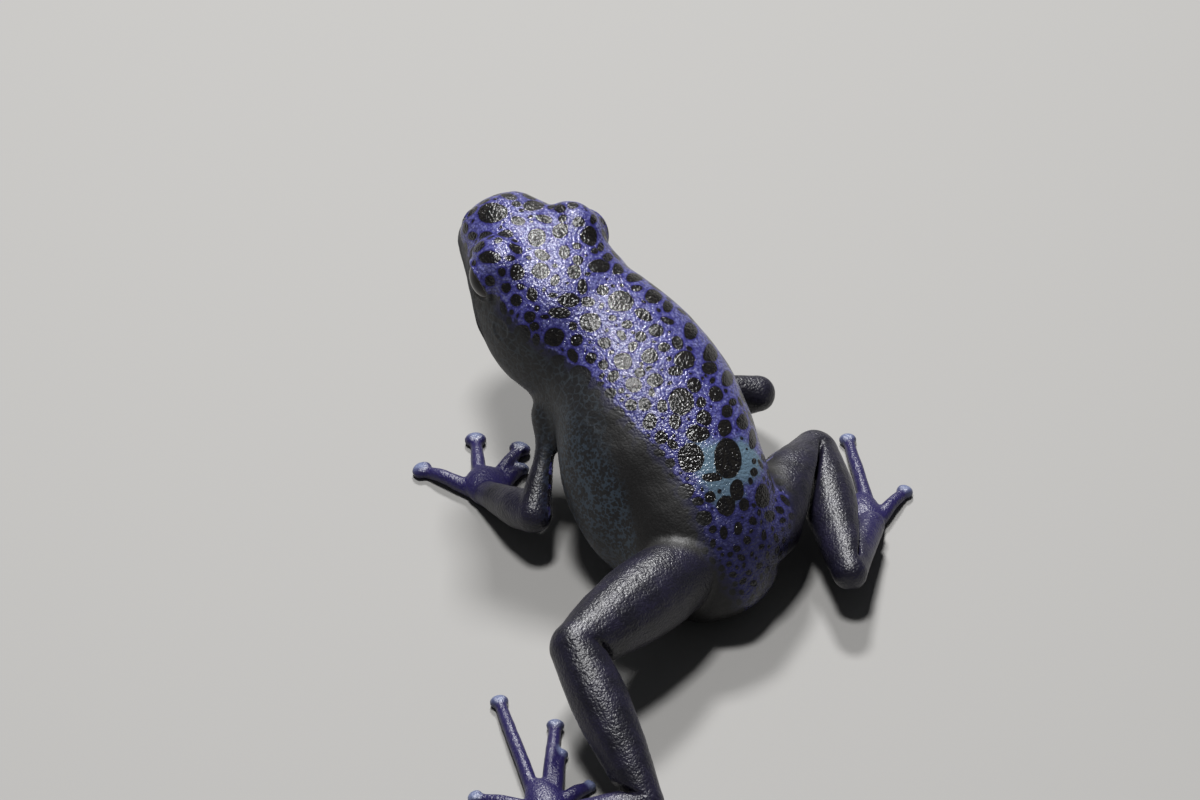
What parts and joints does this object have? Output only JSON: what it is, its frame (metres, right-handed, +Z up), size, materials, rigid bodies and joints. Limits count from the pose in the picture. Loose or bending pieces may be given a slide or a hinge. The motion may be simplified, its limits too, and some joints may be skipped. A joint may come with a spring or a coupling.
{
  "type": "blue poison dart frog",
  "caption": "Still life-size model of a blue poison dart frog standing with its head raised, hands and feet spread on the floor.",
  "frame": {"origin": "middle of the frog's outline, on the floor it stands on", "axes": "the body's snout points to -Y, the frog's left side is +X, +Z is up"},
  "size_m": [0.0483, 0.052, 0.0218],
  "materials": {
    "body_skin": "violet-blue net round black spots, finely grained, moist gloss",
    "limb_skin": "dark indigo, finely grained, moist gloss",
    "hand_and_foot_skin": "violet-blue with pale discs at the tips, smooth moist gloss",
    "eye": "polished near black"
  },
  "bodies": {
    "root": {"head": "body_skin", "torso": "body_skin", "eye_left": "eye", "eye_right": "eye", "upper_arm_left": "limb_skin", "forearm_left": "limb_skin", "hand_left": "hand_and_foot_skin", "upper_arm_right": "limb_skin", "forearm_right": "limb_skin", "hand_right": "hand_and_foot_skin", "thigh_left": "limb_skin", "shank_left": "limb_skin", "tarsus_left": "limb_skin", "foot_left": "hand_and_foot_skin", "thigh_right": "limb_skin", "shank_right": "limb_skin", "tarsus_right": "limb_skin", "foot_right": "hand_and_foot_skin"}
  },
  "joints": []
}
